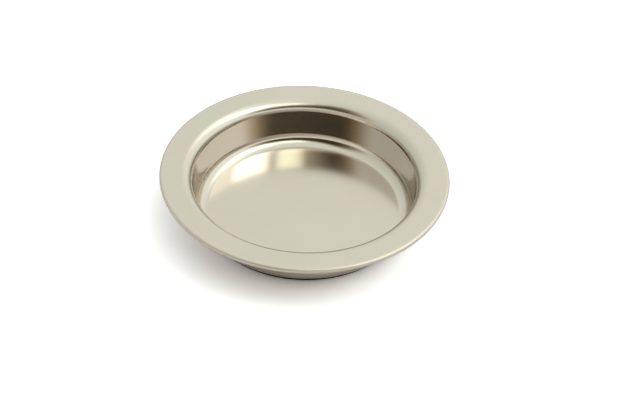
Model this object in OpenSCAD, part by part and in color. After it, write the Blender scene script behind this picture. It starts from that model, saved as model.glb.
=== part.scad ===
// Round counting dish: one pressed metal shell with a wide flat rim, its outer edge
// curled down round a wire, and a rubber pad bonded under the floor.
// Millimetres. +Z is up. The origin is on the dish's axis, in the plane it stands on.

/* [Rim] */
// Diameter over the curled outer edge
rim_d = 100; // [90:1:200]
// Height of the curled edge, from the rim's top face to the underside of the curl
curl_d = 2; // [1.8:0.1:3]
// How far the sheet goes round the wire, in degrees
curl_wrap = 270; // [200:5:280]
// Gap all round between the wire and the inside of the curl
wire_gap = 0.025; // [0.01:0.005:0.1]

/* [Well] */
// Width across the well where the wall would meet the top of the rim
well_d = 78; // [50:1:82]
// Depth from the top of the rim to the floor
well_depth = 16.5; // [11:0.5:40]
// Lean of the wall from upright, in degrees
wall_draft = 6; // [0:1:20]
// Radius of the rounded lip between the rim and the wall
lip_r = 4; // [1:0.5:5]
// Radius inside the well between the wall and the floor
foot_r = 4.5; // [1:0.5:5]

/* [Sheet] */
// Thickness of the pressed sheet
sheet_t = 0.6; // [0.4:0.05:0.75]

/* [Base pad] */
// Thickness of the rubber pad
pad_t = 1.2; // [0.8:0.1:3]
// How far the pad reaches past the flat underside, out below the foot's curve
pad_overhang = 1.3; // [0:0.1:2]
// Chamfer round the pad's lower edge
pad_chamfer = 0.3; // [0.1:0.05:0.5]
// Number of ring grooves in the pad's underside
groove_count = 4; // [1:1:5]
// Width of each ring groove
groove_w = 1.2; // [0.5:0.1:2]
// Depth of each ring groove
groove_depth = 0.4; // [0.1:0.05:0.6]
// Radius of the plain disc inside the first groove
pad_centre_r = 9; // [4:1:12]

/* [Adhesive] */
// Thickness of the bonding film between the shell and the pad
film_t = 0.2; // [0.1:0.05:0.5]
// How far the film stops short of the flat underside's edge
film_inset = 0.8; // [0.2:0.1:3]

/* [Hidden] */

$fn = 180;
arc_step = 6;   // degrees between neighbouring points on a profile's arcs

// Heights, from the standing plane up
film_z = pad_t;
shell_z = film_z + film_t;
floor_z = shell_z + sheet_t;
rim_z = floor_z + well_depth;

// The curled edge and the wire in it share one centre
curl_r = curl_d / 2;
curl_x = rim_d / 2 - curl_r;
curl_z = rim_z - curl_r;
wire_d = curl_d - 2 * sheet_t - 2 * wire_gap;

// Centres of the lip's and the foot's curves, both tangent to the leaning wall
lip_x = well_d / 2 + lip_r * (1 / cos(wall_draft) - tan(wall_draft));
lip_z = rim_z - lip_r;
foot_x = well_d / 2 - well_depth * tan(wall_draft)
       - foot_r * (1 / cos(wall_draft) - tan(wall_draft));
foot_z = floor_z + foot_r;

pad_r = foot_x + pad_overhang;
film_r = foot_x - film_inset;
groove_pitch = (pad_r - pad_chamfer - pad_centre_r) / groove_count;

// Points along an arc about [x, z], from one angle to another
function arc(x, z, r, from, to) =
    let (steps = ceil(abs(to - from) / arc_step))
    [for (i = [0:steps])
        let (a = from + (to - from) * i / steps)
        [x + r * cos(a), z + r * sin(a)]];

// Half section of the shell: up the inside from the floor's centre, out over the rim,
// round the curl, back along the curl's inside, and home along the underside.
module shell_section() {
    polygon(concat(
        [[0, shell_z], [0, floor_z]],
        arc(foot_x, foot_z, foot_r, -90, -wall_draft),
        arc(lip_x, lip_z, lip_r, 180 - wall_draft, 90),
        arc(curl_x, curl_z, curl_r, 90, 90 - curl_wrap),
        arc(curl_x, curl_z, curl_r - sheet_t, 90 - curl_wrap, 90),
        arc(lip_x, lip_z, lip_r - sheet_t, 90, 180 - wall_draft),
        arc(foot_x, foot_z, foot_r + sheet_t, -wall_draft, -90)
    ));
}

// The dish itself: rim, lip, wall, foot and floor pressed from one disc of sheet
module dish_shell() {
    color([0.80, 0.77, 0.68])
        rotate_extrude() shell_section();
}

// Stiffening wire that the outer edge is curled round
module edge_wire() {
    color([0.55, 0.56, 0.58])
        rotate_extrude() translate([curl_x, curl_z]) circle(d = wire_d);
}

// Double-sided film that bonds the pad to the underside of the floor
module pad_adhesive() {
    color([0.88, 0.86, 0.78])
        translate([0, 0, film_z]) cylinder(r = film_r, h = film_t);
}

// Half section of the pad, with its lower edge chamfered
module pad_section() {
    polygon([
        [0, 0],
        [pad_r - pad_chamfer, 0],
        [pad_r, pad_chamfer],
        [pad_r, pad_t],
        [0, pad_t]
    ]);
}

// Half sections of the ring grooves, cut up into the pad from below
module groove_sections() {
    for (i = [0:groove_count - 1])
        translate([pad_centre_r + i * groove_pitch, -groove_depth])
            square([groove_w, 2 * groove_depth]);
}

// Non-slip rubber disc that the dish stands on
module base_pad() {
    color([0.16, 0.16, 0.17])
        rotate_extrude()
            difference() {
                pad_section();
                groove_sections();
            }
}

dish_shell();
edge_wire();
pad_adhesive();
base_pad();
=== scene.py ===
"""Looks for a round pressed metal counting dish: satin nickel shell, wired edge, rubber base pad.

Everything is in metres, in the CAD frame: +Z up, the dish's axis on X = Y = 0, standing on Z = 0.
"""

import math

import bpy
from mathutils import Matrix, Vector


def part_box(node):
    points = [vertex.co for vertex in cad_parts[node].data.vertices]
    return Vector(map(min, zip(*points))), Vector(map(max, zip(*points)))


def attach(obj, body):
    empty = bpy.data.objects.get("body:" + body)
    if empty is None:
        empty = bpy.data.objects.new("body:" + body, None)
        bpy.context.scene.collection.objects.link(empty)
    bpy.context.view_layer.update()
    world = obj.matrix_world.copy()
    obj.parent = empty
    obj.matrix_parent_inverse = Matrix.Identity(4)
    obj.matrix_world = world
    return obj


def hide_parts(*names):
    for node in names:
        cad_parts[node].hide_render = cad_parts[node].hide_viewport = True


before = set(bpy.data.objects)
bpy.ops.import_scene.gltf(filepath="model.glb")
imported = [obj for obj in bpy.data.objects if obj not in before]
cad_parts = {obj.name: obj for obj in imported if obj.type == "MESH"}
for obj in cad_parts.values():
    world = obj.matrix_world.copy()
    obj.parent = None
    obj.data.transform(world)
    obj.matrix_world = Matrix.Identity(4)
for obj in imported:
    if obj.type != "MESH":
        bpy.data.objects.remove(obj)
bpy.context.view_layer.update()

# --- Sizes that the frame gives ---------------------------------------------------------------

shell_low, shell_high = (Vector(corner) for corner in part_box("dish_shell"))
pad_low, pad_high = (Vector(corner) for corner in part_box("base_pad"))

RIM_R = shell_high.x
RIM_Z = shell_high.z
PAD_R = pad_high.x
PAD_TOP = pad_high.z

# --- Sizes of the pressing --------------------------------------------------------------------

SHEET = 0.0006
FLOOR_Z = shell_low.z + SHEET
WELL_DEPTH = RIM_Z - FLOOR_Z
WELL_R = 0.039
WALL_LEAN = math.radians(6)
FOOT_CURVE = 0.0045
LIP_CURVE = 0.0040
CURL_R = 0.0010
CURL_WRAP = math.radians(270)
SHEARED_EDGE_ROUND = 0.00012

# How finely the round shapes are divided, and where flat ones are, to keep their shading flat
ROUND_STEPS = 256
CURVE_STEPS = 16
CURL_STEPS = 24
WALL_BANDS = 3
RIM_EDGE_RING = 0.0004
FLOOR_RINGS = (0.0004, 0.004, 0.010, 0.010)
SMOOTH_BELOW = math.radians(40)
BEVEL_ABOVE = math.radians(60)
SAME_PLACE = 1e-7
RING_TOLERANCE = 5e-6

# --- Sizes of the pad -------------------------------------------------------------------------

PAD_CHAMFER = 0.0003
PAD_CENTRE_R = 0.009
PAD_EDGE_ROUND = 0.0001
GROOVE_COUNT = 4
GROOVE_W = 0.0012
GROOVE_DEPTH = 0.0004

# --- Colours and finishes ---------------------------------------------------------------------

NICKEL_PALE = (0.672, 0.652, 0.553)
NICKEL_DEEP = (0.652, 0.630, 0.528)
# Painted reflection: the wall's pinker tint stands in for warmer light reflected in it
NICKEL_WALL_REFLECTION_TINT = (0.705, 0.650, 0.605)
NICKEL_RUBBED = (0.690, 0.655, 0.570)
# Painted shade: the darker colour of the underside and the curl's lower side
NICKEL_UNDERSIDE_SHADE = (0.620, 0.555, 0.480)
WELL_FLOOR_ROUGHNESS = 0.19
WALL_ROUGHNESS = 0.07
LIP_ROUGHNESS = 0.26
RIM_ROUGHNESS = 0.26
CURL_ROUGHNESS = 0.48
UNDERSIDE_ROUGHNESS = 0.38
RUBBER_BLACK = (0.030, 0.030, 0.032)
RUBBER_DUSTY = (0.075, 0.073, 0.070)
FILM_AMBER = (0.78, 0.70, 0.50)
FILM_PALE = (0.88, 0.85, 0.74)
WIRE_BRIGHT = (0.58, 0.58, 0.59)
WIRE_DULL = (0.42, 0.40, 0.38)

# How fine each pattern is: about how many marks it has to a metre
CLOUDS = 38.0
SMUDGES = 120.0
NICKEL_GRAIN = 5200.0
BUFFING_LINES = 5200.0
RUBBER_DUST = 260.0
RUBBER_PEBBLE = 3600.0
FILM_AIR = 420.0
WIRE_OXIDE = 300.0
DRAWING_MARKS = 14000.0

# --- Studio -----------------------------------------------------------------------------------

STUDIO_FLOOR_SIZE = 6.0
STUDIO_FLOOR_DROP = 0.00002
STUDIO_FLOOR_WHITE = (0.90, 0.92, 0.95)
STUDIO_FLOOR_EXPOSED = (1.71, 1.78, 1.87)
STUDIO_FLOOR_ROUGHNESS = 0.9
BACKDROP_WHITE = (1.0, 1.0, 1.0)

DOME_WARMTH = (1.0, 0.985, 0.950)
DOME_LEVEL = 0.92
DOME_RIGHT_GAIN = 0.25
HORIZON_DIP = 0.60
HORIZON_TOP = 0.24

# Soft-edged areas of the dome. "turn" is the way that an area lies, in degrees round from the
# back by the right. The pairs say where it starts and where it is full: towards its middle
# from its sides, upwards at its foot, and where it starts and stops fading at its top.
KEY_AREA = {"turn": 112, "sides": (0.87, 1.0), "foot": (0.62, 0.78), "top": (0.80, 0.94)}
KEY_LEVEL = 2.9
WASH_AREA = {"turn": 65, "sides": (0.60, 1.0), "foot": (0.62, 0.74), "top": (0.80, 0.94)}
WASH_LEVEL = 0.95
FILL_AREA = {"turn": 161, "sides": (0.93, 1.0), "foot": (0.66, 0.78), "top": (0.80, 0.93)}
FILL_LEVEL = 1.6
FILL_YELLOW = (1.0, 1.07, 0.92)
OPENING_AREA = {"turn": 180, "sides": (0.32, 0.86), "foot": (0.28, 0.39), "top": (0.68, 0.84)}
OPENING_SLANT = 0.17
OPENING_BROWN = (1.0, 0.64, 0.30)
OPENING_GLOW = 0.030


# --- Modelling helpers ------------------------------------------------------------------------


def deselect_everything():
    """Leaves nothing selected, so that an operator acts only on what is added next."""
    bpy.ops.object.select_all(action="DESELECT")


def start_disc(name, radius, height):
    """Adds a filled disc to shape further, and goes into edit mode with edges shown."""
    deselect_everything()
    bpy.ops.mesh.primitive_circle_add(
        vertices=ROUND_STEPS, radius=radius, fill_type="NGON", location=(0, 0, height)
    )
    piece = bpy.context.object
    piece.name = name
    piece.data.name = name
    bpy.ops.object.transform_apply(location=True, rotation=True, scale=True)
    bpy.ops.object.mode_set(mode="EDIT")
    bpy.ops.mesh.select_mode(type="EDGE")
    return piece


def select_ring(piece, radius, height):
    """Selects the circle of edges at one radius and height."""
    bpy.ops.mesh.select_all(action="DESELECT")
    bpy.ops.object.mode_set(mode="OBJECT")
    for edge in piece.data.edges:
        ends = [piece.data.vertices[i].co for i in edge.vertices]
        edge.select = all(
            abs(Vector(co.xy).length - radius) < RING_TOLERANCE
            and abs(co.z - height) < RING_TOLERANCE
            for co in ends
        )
    bpy.ops.object.mode_set(mode="EDIT")


def pull_ring(from_radius, to_radius, rise):
    """Extrudes the selected ring of edges to a new radius and height."""
    bpy.ops.mesh.extrude_region_move(TRANSFORM_OT_translate={"value": (0, 0, rise)})
    share = to_radius / from_radius
    bpy.ops.transform.resize(value=(share, share, 1), center_override=(0, 0, 0))


def pull_round(centre_r, centre_z, radius, start, end, steps):
    """Extrudes the selected ring along an arc that it already stands at the start of."""
    reached_r = centre_r + radius * math.cos(start)
    reached_z = centre_z + radius * math.sin(start)
    for step in range(1, steps + 1):
        angle = start + (end - start) * step / steps
        next_r = centre_r + radius * math.cos(angle)
        next_z = centre_z + radius * math.sin(angle)
        pull_ring(reached_r, next_r, next_z - reached_z)
        reached_r, reached_z = next_r, next_z


def finish_shape(piece, smooth_angle):
    """Leaves edit mode with the mesh merged and smooth-shaded below the given angle."""
    bpy.ops.mesh.select_all(action="SELECT")
    bpy.ops.mesh.remove_doubles(threshold=SAME_PLACE)
    bpy.ops.mesh.normals_make_consistent(inside=False)
    bpy.ops.object.mode_set(mode="OBJECT")
    bpy.ops.object.shade_smooth_by_angle(angle=smooth_angle)


def apply_modifier(piece, kind, **settings):
    """Adds a modifier, sets it and applies it."""
    modifier = piece.modifiers.new(kind.title(), kind)
    for name, value in settings.items():
        setattr(modifier, name, value)
    bpy.ops.object.modifier_apply(modifier=modifier.name)


# --- Dish shell -------------------------------------------------------------------------------


def model_dish_skin():
    """The pressed sheet: floor, foot, wall, lip, flat rim and the edge curled round its wire."""
    quarter = math.pi / 2
    lean_gain = 1 / math.cos(WALL_LEAN) - math.tan(WALL_LEAN)
    foot_r = WELL_R - WELL_DEPTH * math.tan(WALL_LEAN) - FOOT_CURVE * lean_gain
    foot_z = FLOOR_Z + FOOT_CURVE
    lip_r = WELL_R + LIP_CURVE * lean_gain
    lip_z = RIM_Z - LIP_CURVE
    curl_r = RIM_R - CURL_R
    curl_z = RIM_Z - CURL_R

    # The floor, with rings across it that keep its shading flat up to the foot's curve
    piece = start_disc("dish_skin", foot_r, FLOOR_Z)
    bpy.ops.mesh.select_mode(type="FACE")
    bpy.ops.mesh.select_all(action="SELECT")
    for ring_width in FLOOR_RINGS:
        bpy.ops.mesh.inset(thickness=ring_width)
    bpy.ops.mesh.select_mode(type="EDGE")

    # Foot, wall and lip
    select_ring(piece, foot_r, FLOOR_Z)
    pull_round(foot_r, foot_z, FOOT_CURVE, -quarter, -WALL_LEAN, CURVE_STEPS)
    wall_low_r = foot_r + FOOT_CURVE * math.cos(WALL_LEAN)
    wall_low_z = foot_z - FOOT_CURVE * math.sin(WALL_LEAN)
    wall_high_r = lip_r - LIP_CURVE * math.cos(WALL_LEAN)
    wall_high_z = lip_z + LIP_CURVE * math.sin(WALL_LEAN)
    for band in range(WALL_BANDS):
        share, next_share = band / WALL_BANDS, (band + 1) / WALL_BANDS
        pull_ring(
            wall_low_r + (wall_high_r - wall_low_r) * share,
            wall_low_r + (wall_high_r - wall_low_r) * next_share,
            (wall_high_z - wall_low_z) / WALL_BANDS,
        )
    pull_round(lip_r, lip_z, LIP_CURVE, math.pi - WALL_LEAN, quarter, CURVE_STEPS)

    # Flat rim, with a narrow ring at each side that keeps its shading flat
    pull_ring(lip_r, lip_r + RIM_EDGE_RING, 0)
    pull_ring(lip_r + RIM_EDGE_RING, curl_r - RIM_EDGE_RING, 0)
    pull_ring(curl_r - RIM_EDGE_RING, curl_r, 0)

    # The edge goes down, round the wire and back under itself
    pull_round(curl_r, curl_z, CURL_R, quarter, quarter - CURL_WRAP, CURL_STEPS)

    finish_shape(piece, SMOOTH_BELOW)
    apply_modifier(piece, "SOLIDIFY", thickness=SHEET, offset=-1, use_even_offset=True)
    apply_modifier(
        piece, "BEVEL", width=SHEARED_EDGE_ROUND, segments=2, limit_method="ANGLE",
        angle_limit=BEVEL_ABOVE,
    )
    apply_modifier(piece, "WEIGHTED_NORMAL", keep_sharp=True)
    return piece


def model_base_pad():
    """The moulded rubber disc: ring grooves in its underside and a rounded lower edge."""
    piece = start_disc("base_pad_moulded", PAD_R, PAD_TOP)
    bpy.ops.mesh.select_mode(type="FACE")
    bpy.ops.mesh.select_all(action="SELECT")
    bpy.ops.mesh.extrude_region_move(TRANSFORM_OT_translate={"value": (0, 0, -PAD_TOP)})

    # Lands and grooves, worked inwards from the edge
    land = PAD_R - PAD_CENTRE_R - GROOVE_COUNT * GROOVE_W - PAD_CHAMFER
    land_w = land / GROOVE_COUNT
    bpy.ops.mesh.inset(thickness=PAD_CHAMFER)
    for _ in range(GROOVE_COUNT):
        bpy.ops.mesh.inset(thickness=land_w)
        bpy.ops.mesh.extrude_region_move(
            TRANSFORM_OT_translate={"value": (0, 0, GROOVE_DEPTH)}
        )
        bpy.ops.mesh.inset(thickness=GROOVE_W)
        bpy.ops.mesh.extrude_region_move(
            TRANSFORM_OT_translate={"value": (0, 0, -GROOVE_DEPTH)}
        )
    bpy.ops.mesh.select_mode(type="EDGE")
    finish_shape(piece, SMOOTH_BELOW)
    apply_modifier(
        piece, "BEVEL", width=PAD_EDGE_ROUND, segments=3, limit_method="ANGLE",
        angle_limit=BEVEL_ABOVE,
    )
    apply_modifier(piece, "WEIGHTED_NORMAL", keep_sharp=True)
    return piece


# --- Shader arithmetic ------------------------------------------------------------------------


class Value:
    """A socket in a node tree. Arithmetic on it adds Math nodes."""

    def __init__(self, tree, socket=None):
        self.tree = tree
        self.socket = socket

    def node(self, kind, settings=None, inputs=None, output=0):
        """Adds any other node: its settings first, then the values or links of its sockets."""
        made = self.tree.nodes.new(kind)
        for name, setting in (settings or {}).items():
            setattr(made, name, setting)
        for name, value in (inputs or {}).items():
            if isinstance(value, Value):
                self.tree.links.new(value.socket, made.inputs[name])
            else:
                made.inputs[name].default_value = value
        return Value(self.tree, made.outputs[output])

    def math(self, operation, *terms):
        """One Math node on these terms, in order."""
        return self.node(
            "ShaderNodeMath", {"operation": operation}, dict(enumerate(terms))
        )

    def __add__(self, other):
        return self.math("ADD", self, other)

    __radd__ = __add__

    def __sub__(self, other):
        return self.math("SUBTRACT", self, other)

    def __rsub__(self, other):
        return self.math("SUBTRACT", other, self)

    def __mul__(self, other):
        return self.math("MULTIPLY", self, other)

    __rmul__ = __mul__

    def __truediv__(self, other):
        return self.math("DIVIDE", self, other)

    def root(self):
        return self.math("SQRT", self)

    def above(self, low, high):
        """0 below low, 1 above high, and smooth between them."""
        return self.node(
            "ShaderNodeMapRange",
            {"interpolation_type": "SMOOTHSTEP"},
            {"Value": self, "From Min": low, "From Max": high},
        )

    def near(self, middle, reach):
        """1 at middle, falling smoothly to 0 at reach on either side."""
        return 1 - self.math("ABSOLUTE", self - middle).above(0, reach)

    def noise(self, scale, detail=2.0, roughness=0.5, w=None):
        """Noise from 0 to 1, read at this vector."""
        settings = {}
        inputs = {"Vector": self, "Scale": scale, "Detail": detail, "Roughness": roughness}
        if w is not None:
            settings["noise_dimensions"] = "4D"
            inputs["W"] = w
        return self.node("ShaderNodeTexNoise", settings, inputs)

    def parts(self):
        """The X, Y and Z of this vector."""
        split = self.node("ShaderNodeSeparateXYZ", inputs={"Vector": self})
        return [Value(self.tree, socket) for socket in split.socket.node.outputs]

    def blend(self, low, high):
        """The colour low where this is 0 and high where it is 1."""
        mix = self.node("ShaderNodeMix", {"data_type": "RGBA"}, {"Factor": self}).socket.node
        sockets = {socket.identifier: socket for socket in (*mix.inputs, *mix.outputs)}
        for name, colour in (("A_Color", low), ("B_Color", high)):
            if isinstance(colour, Value):
                self.tree.links.new(colour.socket, sockets[name])
            else:
                sockets[name].default_value = (*colour, 1)
        return Value(self.tree, sockets["Result_Color"])


def start_material(name):
    """A new node material. Returns it, its shader node and an empty Value to build from."""
    material = bpy.data.materials.new(name)
    material.use_nodes = True
    tree = material.node_tree
    return material, tree.nodes["Principled BSDF"], Value(tree)


def connect(shader, name, value):
    """Feeds a shader's socket from a Value."""
    shader.id_data.links.new(value.socket, shader.inputs[name])


def object_place(start):
    """The place on the object, as a vector in metres."""
    return start.node("ShaderNodeTexCoord", output="Object")


def turned_lines(place, per_metre, wander):
    """Fine lines that run round the axis, as a cloth wheel or a lathe leaves them."""
    x, y, height = place.parts()
    radius = (x * x + y * y).root()
    spoke = place.node(
        "ShaderNodeCombineXYZ",
        inputs={"X": radius * per_metre, "Y": x / radius * wander, "Z": y / radius * wander},
    )
    return spoke.noise(1.0, detail=3.0, w=height * per_metre)


def add_relief(shader, height, strength, depth):
    """Gives a surface fine relief, depth metres from its lows to its highs."""
    bump = height.node(
        "ShaderNodeBump", inputs={"Strength": strength, "Distance": depth, "Height": height}
    )
    connect(shader, "Normal", bump)


# --- Materials --------------------------------------------------------------------------------


def satin_nickel():
    """Warm satin nickel plate: a fine even grain, faint turned lines and light handling wear."""
    material, shader, start = start_material("satin_nickel_plate")
    place = object_place(start)
    x, y, height = place.parts()
    radius = (x * x + y * y).root()
    facing_up = start.node("ShaderNodeTexCoord", output="Normal").parts()[2]

    # Where the finish differs: the wall is buffed brightest, the curl and the underside least.
    # The wall's pinker tint is a painted reflection, and the darker colour on the underside and
    # the curl's lower side is painted shade.
    on_curl = radius.above(RIM_R - 2.2 * CURL_R, RIM_R - 0.8 * CURL_R)
    on_rim = radius.above(WELL_R + 0.3 * LIP_CURVE, WELL_R + 1.2 * LIP_CURVE)
    on_lip = height.above(RIM_Z - 0.9 * LIP_CURVE, RIM_Z - 0.3 * LIP_CURVE)
    on_wall = height.above(FLOOR_Z + 0.2 * FOOT_CURVE, FLOOR_Z + FOOT_CURVE)
    below_lip = on_wall * (1 - (on_lip + on_curl).above(0, 1))
    underneath = 1 - facing_up.above(-0.06, 0.02)
    curl_side = on_curl * (1 - facing_up.above(-0.1, 0.8))
    # Painted shade mask: the surfaces facing down and the lower side of the curl, darkened in
    # colour
    painted_shade_below = underneath.math("MAXIMUM", underneath, curl_side)

    cloud = place.noise(CLOUDS, detail=3.0)
    smudge = place.noise(SMUDGES, detail=4.0, roughness=0.6).above(0.55, 0.80)
    grain = place.noise(NICKEL_GRAIN, detail=2.0)
    lines = turned_lines(place, per_metre=BUFFING_LINES, wander=1.6)

    tone = (cloud * 0.7 + lines * 0.3).above(0.25, 0.75)
    plate = tone.blend(NICKEL_DEEP, NICKEL_PALE)
    # Painted reflection: the wall below the lip gets a pinker tint in its colour
    reflection_tinted_plate = below_lip.blend(plate, NICKEL_WALL_REFLECTION_TINT)
    rubbed = (on_curl * 0.5).blend(reflection_tinted_plate, NICKEL_RUBBED)
    # Painted shade: the colour is darkened where the metal faces down, under the rim and curl
    connect(shader, "Base Color", painted_shade_below.blend(rubbed, NICKEL_UNDERSIDE_SHADE))
    shader.inputs["Metallic"].default_value = 1.0

    # Zone by zone, from the well's floor outwards
    buffed = WELL_FLOOR_ROUGHNESS + on_wall * (WALL_ROUGHNESS - WELL_FLOOR_ROUGHNESS)
    lipped = buffed + on_lip * (LIP_ROUGHNESS - WALL_ROUGHNESS)
    rimmed = lipped + on_rim * (RIM_ROUGHNESS - LIP_ROUGHNESS)
    edged = rimmed + on_curl * (CURL_ROUGHNESS - RIM_ROUGHNESS)
    zoned = edged + underneath * (UNDERSIDE_ROUGHNESS - RIM_ROUGHNESS)
    uneven = (cloud - 0.5) * 0.03 + (lines - 0.5) * 0.03 + smudge * 0.02
    connect(shader, "Roughness", zoned + uneven)

    relief = (grain * 0.35 + lines * 0.65) * (1 - on_wall * 0.8)
    add_relief(shader, relief, strength=0.05, depth=0.00002)
    return material


def moulded_rubber():
    """Matt black rubber with the fine texture of its mould and a little dust."""
    material, shader, start = start_material("moulded_rubber")
    place = object_place(start)
    dust = place.noise(RUBBER_DUST, detail=4.0, roughness=0.65).above(0.5, 0.85)
    pebble = place.noise(RUBBER_PEBBLE, detail=3.0)
    connect(shader, "Base Color", (dust * 0.6).blend(RUBBER_BLACK, RUBBER_DUSTY))
    connect(shader, "Roughness", 0.68 + dust * 0.2 + (pebble - 0.5) * 0.1)
    shader.inputs["Specular IOR Level"].default_value = 0.4
    add_relief(shader, pebble, strength=0.5, depth=0.00006)
    return material


def bonding_film():
    """Pale amber adhesive with trapped air marks."""
    material, shader, start = start_material("bonding_film")
    air = object_place(start).noise(FILM_AIR, detail=3.0).above(0.55, 0.75)
    connect(shader, "Base Color", air.blend(FILM_AMBER, FILM_PALE))
    connect(shader, "Roughness", 0.35 + air * 0.25)
    add_relief(shader, air, strength=0.3, depth=0.00003)
    return material


def drawn_wire():
    """Bright steel wire with the long marks of its drawing die."""
    material, shader, start = start_material("drawn_wire")
    place = object_place(start)
    marks = turned_lines(place, per_metre=DRAWING_MARKS, wander=3.0)
    oxide = place.noise(WIRE_OXIDE, detail=3.0).above(0.5, 0.8)
    connect(shader, "Base Color", oxide.blend(WIRE_BRIGHT, WIRE_DULL))
    shader.inputs["Metallic"].default_value = 1.0
    connect(shader, "Roughness", 0.28 + marks * 0.15 + oxide * 0.15)
    add_relief(shader, marks, strength=0.3, depth=0.00002)
    return material


def dress(piece, material):
    """Puts one material on the whole of a piece, in place of any that it has."""
    piece.data.materials.clear()
    piece.data.materials.append(material)


# --- Camera, floor and light ------------------------------------------------------------------


def set_camera():
    """Looks down at the dish from the front, from a little to its left, with a long lens."""
    elevation = math.radians(40.43)
    roll = math.radians(2.577)
    distance = 0.8595
    lens_mm = 140.6
    sensor_mm = 36.0
    shift_right = 0.0052
    shift_down = 0.0118

    forward = Vector((0, math.cos(elevation), -math.sin(elevation)))
    level = Vector((1, 0, 0))
    upward = level.cross(forward)
    right = level * math.cos(roll) + upward * math.sin(roll)
    up = upward * math.cos(roll) - level * math.sin(roll)

    camera = bpy.data.objects.new("camera", bpy.data.cameras.new("camera"))
    bpy.context.scene.collection.objects.link(camera)
    camera.data.lens = lens_mm
    camera.data.sensor_width = sensor_mm
    camera.data.clip_start = 0.01
    camera.data.clip_end = 50.0
    turn = Matrix((right, up, -forward)).transposed().to_4x4()
    rim_centre = Vector((0, 0, RIM_Z))
    turn.translation = rim_centre - forward * distance + right * shift_right - up * shift_down
    camera.matrix_world = turn
    bpy.context.scene.camera = camera


def add_floor():
    """A plain pale floor, a hair below the pad. Seen directly, it is well exposed."""
    deselect_everything()
    bpy.ops.mesh.primitive_plane_add(
        size=STUDIO_FLOOR_SIZE, location=(0, 0, -STUDIO_FLOOR_DROP)
    )
    floor = bpy.context.object
    floor.name = "studio_floor"
    material, shader, start = start_material("studio_floor")
    seen_directly = start.node("ShaderNodeLightPath", output="Is Camera Ray")
    white = seen_directly.blend(STUDIO_FLOOR_WHITE, STUDIO_FLOOR_EXPOSED)
    connect(shader, "Base Color", white)
    shader.inputs["Roughness"].default_value = STUDIO_FLOOR_ROUGHNESS
    shader.inputs["Specular IOR Level"].default_value = 0.0
    dress(floor, material)


def dome_area(x, y, z, turn, sides, foot, top, slant=0.0):
    """1 inside a soft-edged area of the dome and 0 outside it."""
    level = (x * x + y * y).root()
    way = math.radians(turn)
    facing = (x * math.sin(way) + y * math.cos(way)) / level
    lowered_top = z + x / level * slant
    return facing.above(*sides) * z.above(*foot) * (1 - lowered_top.above(*top))


def light_dome():
    """A pale dome, brighter to the right, with three soft bright areas and a dark opening."""
    world = bpy.data.worlds.new("studio")
    bpy.context.scene.world = world
    world.use_nodes = True
    start = Value(world.node_tree)
    x, y, z = start.node("ShaderNodeTexCoord").parts()

    haze = (1 - z.above(0.0, HORIZON_TOP)) * HORIZON_DIP
    pale = (DOME_LEVEL + x * DOME_RIGHT_GAIN) * (1 - haze)
    key = dome_area(x, y, z, **KEY_AREA) * KEY_LEVEL
    wash = dome_area(x, y, z, **WASH_AREA) * WASH_LEVEL
    fill = dome_area(x, y, z, **FILL_AREA)
    opening = dome_area(x, y, z, slant=OPENING_SLANT, **OPENING_AREA)
    colour = opening.blend(fill.blend(DOME_WARMTH, FILL_YELLOW), OPENING_BROWN)
    level = (pale + key + wash + fill * FILL_LEVEL) * (1 - opening) + OPENING_GLOW

    # What is seen past the floor is plain white
    seen_directly = start.node("ShaderNodeLightPath", output="Is Camera Ray")
    background = world.node_tree.nodes["Background"]
    connect(background, "Color", seen_directly.blend(colour, BACKDROP_WHITE))
    connect(background, "Strength", level * (1 - seen_directly) + seen_directly)


# --- The dish ---------------------------------------------------------------------------------

set_camera()

skin = model_dish_skin()
dress(skin, satin_nickel())
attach(skin, "root")
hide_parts("dish_shell")

pad = model_base_pad()
dress(pad, moulded_rubber())
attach(pad, "root")
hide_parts("base_pad")

dress(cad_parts["pad_adhesive"], bonding_film())
dress(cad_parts["edge_wire"], drawn_wire())

add_floor()
light_dome()
bpy.context.scene.view_settings.view_transform = "Standard"
